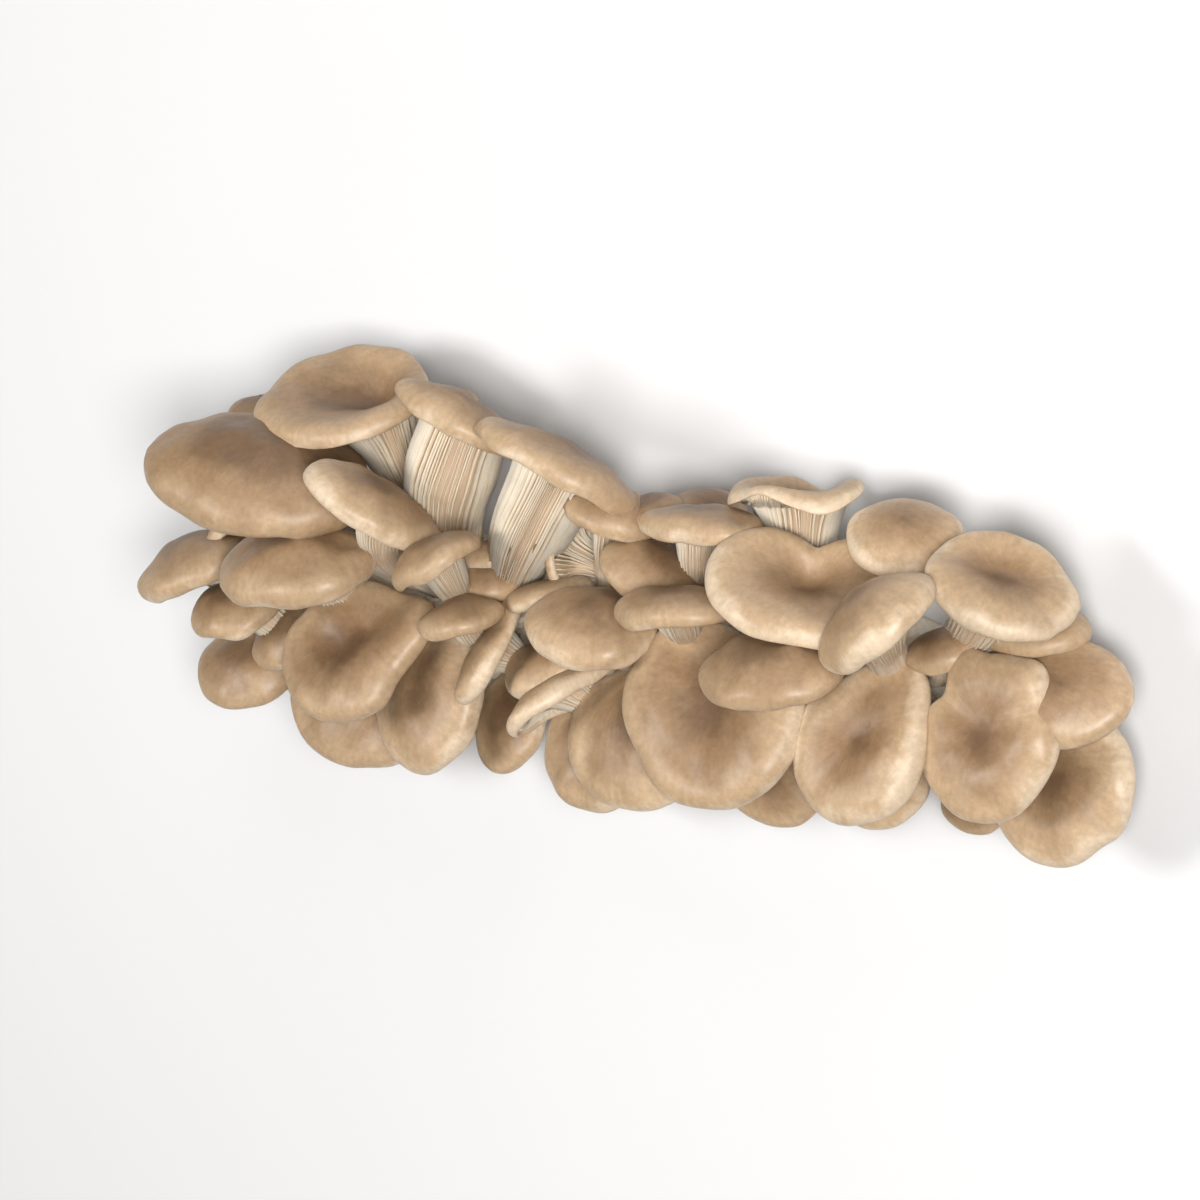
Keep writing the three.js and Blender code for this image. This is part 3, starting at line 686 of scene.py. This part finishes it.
def run_tree(piece, group, values):
    """Runs a Geometry Nodes tree on a piece and keeps the result as the piece's plain mesh."""
    modifier = piece.modifiers.new(group.name, "NODES")
    modifier.node_group = group
    for item in group.interface.items_tree:
        if item.item_type == "SOCKET" and item.in_out == "INPUT" and item.name in values:
            modifier[item.identifier] = values[item.name]
    piece.data.update()
    graph = bpy.context.evaluated_depsgraph_get()
    made = bpy.data.meshes.new_from_object(piece.evaluated_get(graph), depsgraph=graph)
    piece.modifiers.remove(modifier)
    before = piece.data
    piece.data = made
    bpy.data.meshes.remove(before)
    return piece


# ---------------------------------------------------------------- materials


def make_mottle_group():
    """Uneven tone on a skin: broad clouds and fine flecks."""
    group = bpy.data.node_groups.new("mottle", "ShaderNodeTree")
    t = Tree(group)
    t.socket("Cloud Size", "NodeSocketFloat", value=60.0)
    t.socket("Fleck Size", "NodeSocketFloat", value=700.0)
    t.socket("Clouds", "NodeSocketFloat", side="OUTPUT")
    t.socket("Flecks", "NodeSocketFloat", side="OUTPUT")
    given = t.add("NodeGroupInput").outputs
    place = t.add("ShaderNodeTexCoord").outputs["Object"]
    clouds = t.add("ShaderNodeTexNoise", {
        "Vector": place, "Scale": given["Cloud Size"], "Detail": 4.0, "Roughness": 0.55})
    flecks = t.add("ShaderNodeTexNoise", {
        "Vector": place, "Scale": given["Fleck Size"], "Detail": 3.0, "Roughness": 0.65})
    t.add("NodeGroupOutput", {"Clouds": clouds.outputs["Fac"], "Flecks": flecks.outputs["Fac"]})
    return group


def make_fibre_group():
    """Fine threads that run from the middle of the cap to the margin and down the stem."""
    group = bpy.data.node_groups.new("fibres", "ShaderNodeTree")
    t = Tree(group)
    t.socket("Threads", "NodeSocketFloat", value=90.0)
    t.socket("Run", "NodeSocketFloat", value=5.0)
    t.socket("Fibres", "NodeSocketFloat", side="OUTPUT")
    given = t.add("NodeGroupInput").outputs
    uv_map = t.add("ShaderNodeUVMap", uv_map="UVMap").outputs[0]
    uv = t.add("ShaderNodeSeparateXYZ", {0: uv_map}).outputs
    turn = t.math("MULTIPLY", uv["X"], TURN)
    girth = t.math("DIVIDE", given["Threads"], TURN)
    round_x = t.math("MULTIPLY", t.math("COSINE", turn), girth)
    round_y = t.math("MULTIPLY", t.math("SINE", turn), girth)
    run = t.math("MULTIPLY", uv["Y"], given["Run"])
    spot = t.add("ShaderNodeCombineXYZ", {"X": round_x, "Y": round_y, "Z": run}).outputs[0]
    noise = t.add("ShaderNodeTexNoise", {
        "Vector": spot, "Scale": 1.0, "Detail": 3.0, "Roughness": 0.6})
    t.add("NodeGroupOutput", {"Fibres": noise.outputs["Fac"]})
    return group


def new_material(name, roughness, scatter, scatter_scale):
    """A material with its Principled BSDF, ready for links to its colour, roughness and normal."""
    material = bpy.data.materials.new(name)
    material.use_nodes = True
    t = Tree(material.node_tree)
    surface = t.tree.nodes["Principled BSDF"]
    surface.inputs["Roughness"].default_value = roughness
    surface.inputs["Subsurface Weight"].default_value = scatter
    surface.inputs["Subsurface Radius"].default_value = (1.0, 0.5, 0.28)
    surface.inputs["Subsurface Scale"].default_value = scatter_scale
    return material, t, surface


def mottled(t, mottle, clouds, flecks):
    return t.add(
        "ShaderNodeGroup", {"Cloud Size": clouds, "Fleck Size": flecks}, node_tree=mottle).outputs


def mark(t, name):
    return t.add("ShaderNodeAttribute", attribute_name=name).outputs["Fac"]


def ramp(t, factor, stops):
    node = t.add("ShaderNodeValToRGB", {"Fac": factor})
    node.color_ramp.interpolation = "EASE"
    elements = node.color_ramp.elements
    while len(elements) < len(stops):
        elements.new(0.5)
    for element, (position, colour) in zip(elements, stops):
        element.position = position
        element.color = (*colour, 1)
    return node.outputs["Color"]


def mixed(t, kind, factor, first, second):
    node = t.add("ShaderNodeMix", data_type="RGBA", blend_type=kind)
    for index, value in ((0, factor), (6, first), (7, second)):
        if isinstance(value, bpy.types.NodeSocket):
            t.tree.links.new(value, node.inputs[index])
        elif isinstance(value, tuple):
            node.inputs[index].default_value = (*value, 1)
        else:
            node.inputs[index].default_value = value
    return node.outputs[2]


def spread(t, value, low, high):
    """Stretches the middle of a noise value to run from low to high."""
    return t.add("ShaderNodeMapRange", {
        "Value": value, "From Min": 0.3, "From Max": 0.7, "To Min": low, "To Max": high}).outputs[0]


def grey(t, value):
    return t.add("ShaderNodeCombineColor", {0: value, 1: value, 2: value}).outputs[0]


CROWN_BROWN = (0.172, 0.102, 0.054)
CAP_BROWN = (0.30, 0.191, 0.104)
CAP_TAN = (0.45, 0.314, 0.19)
MARGIN_CREAM = (0.61, 0.48, 0.34)
UNDER_CREAM = (0.63, 0.51, 0.375)
STEM_WHITE = (0.67, 0.575, 0.46)
GILL_GAP_PAINTED_SHADE = (0.46, 0.335, 0.225)
GILL_ROOT_PAINTED_SHADE = (0.45, 0.325, 0.215)
GILL_CREST = (0.75, 0.645, 0.505)
BASE_WHITE = (0.80, 0.715, 0.59)
BASE_TAN = (0.52, 0.40, 0.27)


def make_skin_material(mottle, fibres):
    """Satin cap skin, brown over the stem and cream at the margin, that pales into the flesh, with
    painted shade in the hollow over the stem and under the cap where the gills lie.
    """
    material, t, surface = new_material("mushroom_skin", 0.5, 0.08, 0.002)
    uneven = mottled(t, mottle, 55.0, 420.0)
    threads = t.add(
        "ShaderNodeGroup", {"Threads": 70.0, "Run": 7.0}, node_tree=fibres).outputs["Fibres"]
    margin, hollow, tone = mark(t, "margin"), mark(t, "hollow"), mark(t, "tone")

    place = t.math("ADD", margin, spread(t, uneven["Clouds"], -0.13, 0.13))
    # tone moves the whole cap paler or darker along the ramp: partly its own tone, partly painted
    # light and shade
    place = t.math("ADD", place, t.math("MULTIPLY", t.math("SUBTRACT", tone, 0.5), 0.3))
    cap = ramp(t, place, [
        (0.12, CROWN_BROWN), (0.45, CAP_BROWN), (0.84, CAP_TAN), (1.0, MARGIN_CREAM)])
    # painted shade: the cap is darkened in the hollow over the stem, more where the hollow is deeper
    cap = mixed(t, "MULTIPLY", t.math("MULTIPLY", hollow, 0.6), cap, (0.76, 0.68, 0.60))
    cap = mixed(t, "MULTIPLY", 1.0, cap, grey(t, spread(t, uneven["Flecks"], 0.87, 1.09)))
    cap = mixed(t, "MULTIPLY", 1.0, cap, grey(t, spread(t, threads, 0.93, 1.06)))

    along = mark(t, "stem")
    body = mixed(t, "MIX", t.math("MULTIPLY", along, 1.6), UNDER_CREAM, STEM_WHITE)
    # painted shade on the underside between the gills, fading out down the stem where they end
    body = mixed(t, "MIX", t.math("MULTIPLY", mark(t, "gilled"), 0.8), body, GILL_GAP_PAINTED_SHADE)
    body = mixed(t, "MULTIPLY", 1.0, body, grey(t, spread(t, threads, 0.84, 1.1)))
    body = mixed(t, "MULTIPLY", 1.0, body, grey(t, spread(t, uneven["Clouds"], 0.9, 1.06)))
    colour = mixed(t, "MIX", mark(t, "flesh"), cap, body)
    t.tree.links.new(colour, surface.inputs["Base Color"])

    satin = spread(t, uneven["Clouds"], 0.40, 0.52)
    rough = t.math("ADD", satin, t.math("MULTIPLY", mark(t, "flesh"), 0.22))
    t.tree.links.new(rough, surface.inputs["Roughness"])
    ridge = t.math("ADD", t.math("MULTIPLY", mark(t, "flesh"), 0.8), 0.15)
    ridged = t.math("MULTIPLY", threads, ridge)
    height = t.math("ADD", t.math("MULTIPLY", uneven["Flecks"], 0.3), ridged)
    bump = t.add("ShaderNodeBump", {"Height": height, "Strength": 0.35, "Distance": 0.0004})
    t.tree.links.new(bump.outputs[0], surface.inputs["Normal"])
    return material


def make_gill_material(mottle):
    """Cream gills, with painted shade down between them where they meet the cap."""
    material, t, surface = new_material("gill_flesh", 0.6, 0.3, 0.003)
    uneven = mottled(t, mottle, 120.0, 1200.0)
    # painted shade: each gill is darker at its root, where it joins the cap, and lighter at its
    # crest
    colour = mixed(t, "MIX", mark(t, "crest"), GILL_ROOT_PAINTED_SHADE, GILL_CREST)
    colour = mixed(t, "MULTIPLY", 1.0, colour, grey(t, spread(t, uneven["Clouds"], 0.88, 1.08)))
    shade = t.math("MULTIPLY", mark(t, "tone"), 0.5)
    tinted = mixed(t, "MULTIPLY", shade, colour, (0.93, 0.88, 0.84))
    t.tree.links.new(tinted, surface.inputs["Base Color"])
    t.tree.links.new(spread(t, uneven["Flecks"], 0.52, 0.7), surface.inputs["Roughness"])
    return material


def make_base_material(mottle):
    """Felted white tissue at the foot, tan where it is bruised."""
    material, t, surface = new_material("base_flesh", 0.8, 0.2, 0.003)
    uneven = mottled(t, mottle, 45.0, 500.0)
    colour = ramp(t, uneven["Clouds"], [(0.3, BASE_TAN), (0.46, BASE_WHITE), (0.7, BASE_WHITE)])
    colour = mixed(t, "MULTIPLY", 1.0, colour, grey(t, spread(t, uneven["Flecks"], 0.85, 1.08)))
    t.tree.links.new(colour, surface.inputs["Base Color"])
    t.tree.links.new(spread(t, uneven["Clouds"], 0.9, 0.7), surface.inputs["Roughness"])
    bump = t.add("ShaderNodeBump", {"Height": uneven["Flecks"], "Strength": 0.8, "Distance": 0.0012})
    t.tree.links.new(bump.outputs[0], surface.inputs["Normal"])
    return material


# ---------------------------------------------------------------- the stem base


def grow_base(material):
    """The fused tissue that the stems stand in, inside the CAD base's box and flat below."""
    low, high = (np.array(corner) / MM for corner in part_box("stem_base"))
    draw = np.random.default_rng(5)
    angle = np.arange(BASE_SIDES) / BASE_SIDES * TURN
    middle = (low + high) / 2
    reach = (high - low) / 2 - BASE_INSET

    def height(x, y):
        tissue = BASE_HEIGHT + sum(
            extra * np.exp(-(((x - at) / size) ** 2)) for at, extra, size in BASE_MOUNDS)
        collars = [
            FOOT_RISE * np.exp(
                -((x - foot[0]) ** 2 + (y - foot[1]) ** 2) / (FOOT_SPREAD * stem) ** 2)
            for *_, foot, stem, _ in MUSHROOMS.values()
        ]
        return tissue + np.max(collars, axis=0)

    def ring(out, rise):
        x = middle[0] + reach[0] * out * np.cos(angle)
        y = middle[1] + reach[1] * out * np.sin(angle)
        return np.stack([x, y, rise * height(x, y)], axis=-1)

    outs = np.linspace(0.02, 0.985, BASE_RINGS)
    rings = [ring(out, math.sqrt(1 - out**4)) for out in outs]
    rings += [ring(out, rise) for out, rise in BASE_SKIRT]
    rings = np.array(rings)
    knobs = sum(tall * lumps(rings, size, draw) for tall, size in BASE_KNOBS)
    rings[..., 2] += knobs * ease(KNOBS_FROM, KNOBS_FULL, rings[..., 2])
    top = rings[0].mean(axis=0)
    last = np.array([middle[0], middle[1], 0.0])
    heights = np.linspace(0, 1, len(rings) + 2)
    base = closed_skin("stem_base_flesh", top, rings, last, heights, {})
    base.data.materials.append(material)
    return base


# ---------------------------------------------------------------- the cluster

mottle_group = make_mottle_group()
fibre_group = make_fibre_group()
skin_material = make_skin_material(mottle_group, fibre_group)
gill_material = make_gill_material(mottle_group)
base_material = make_base_material(mottle_group)
gill_tree = make_gill_tree()

for mushroom_name in MUSHROOMS:
    growth = Growth(mushroom_name)
    mushroom = grow_mushroom(growth)
    run_tree(mushroom, gill_tree, {
        "Gills": 2 * round(math.pi * growth.mean / GILL_SPACING),
        "Depth": GILL_DEPTH * MM * min(growth.mean / FULL_GILLS, 1),
        "Thickness": GILL_THICKNESS,
        "From": GILL_FROM,
        "To": stem_height(growth.gills),
        "Tone": growth.tone,
        "Seed": list(MUSHROOMS).index(mushroom_name),
        "Skin": skin_material,
        "Gill Flesh": gill_material,
    })
    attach(mushroom, "root")
    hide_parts(mushroom_name)

base = grow_base(base_material)
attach(base, "root")
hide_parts("stem_base")

# ---------------------------------------------------------------- floor, light and camera


def make_floor():
    size = 3.0
    corners = [(-size, -size, 0), (size, -size, 0), (size, size, 0), (-size, size, 0)]
    mesh = bpy.data.meshes.new("floor")
    mesh.from_pydata(corners, [], [(0, 1, 2, 3)])
    floor = bpy.data.objects.new("floor", mesh)
    bpy.context.scene.collection.objects.link(floor)
    material = bpy.data.materials.new("pale_floor")
    material.use_nodes = True
    surface = material.node_tree.nodes["Principled BSDF"]
    surface.inputs["Base Color"].default_value = (0.70, 0.70, 0.71, 1)
    surface.inputs["Roughness"].default_value = 0.9
    mesh.materials.append(material)


def make_light(name, place, size, power, colour):
    light = bpy.data.lights.new(name, "AREA")
    light.size = size
    light.energy = power
    light.color = colour
    lamp = bpy.data.objects.new(name, light)
    lamp.location = place
    lamp.rotation_euler = (Vector(place) - middle).to_track_quat("Z", "Y").to_euler()
    bpy.context.scene.collection.objects.link(lamp)


def make_camera():
    camera = bpy.data.cameras.new("camera")
    camera.sensor_width = 36
    camera.lens = 150
    viewer = bpy.data.objects.new("camera", camera)
    place = Vector((1.069, 0.410, 1.392))
    back = (place - (middle + Vector((0.0, 0.004, 0.0)))).normalized()
    side = Vector((0, 1, 0)).cross(back).normalized()
    up = back.cross(side)
    turn = viewer.matrix_world.to_3x3()
    turn.col[0], turn.col[1], turn.col[2] = side, up, back
    viewer.rotation_euler = turn.to_euler()
    viewer.location = place
    bpy.context.scene.collection.objects.link(viewer)
    bpy.context.scene.camera = viewer


middle = (CAD_LOW + CAD_HIGH) / 2
make_floor()
make_light("key", (1.10, 0.22, 1.40), 0.5, 34, (1.0, 0.985, 0.96))
make_light("left", (-0.70, 0.20, 1.55), 0.5, 15, (1.0, 0.99, 0.97))
make_light("top", (0.10, 1.40, 0.90), 1.0, 5, (0.97, 0.985, 1.0))
make_light("low", (-0.20, -1.50, 0.70), 1.0, 3, (1.0, 0.99, 0.97))
world = bpy.data.worlds.new("studio")
world.use_nodes = True
world.node_tree.nodes["Background"].inputs["Color"].default_value = (1, 1, 1, 1)
world.node_tree.nodes["Background"].inputs["Strength"].default_value = 0.08
bpy.context.scene.world = world
bpy.context.scene.view_settings.view_transform = "Standard"
make_camera()
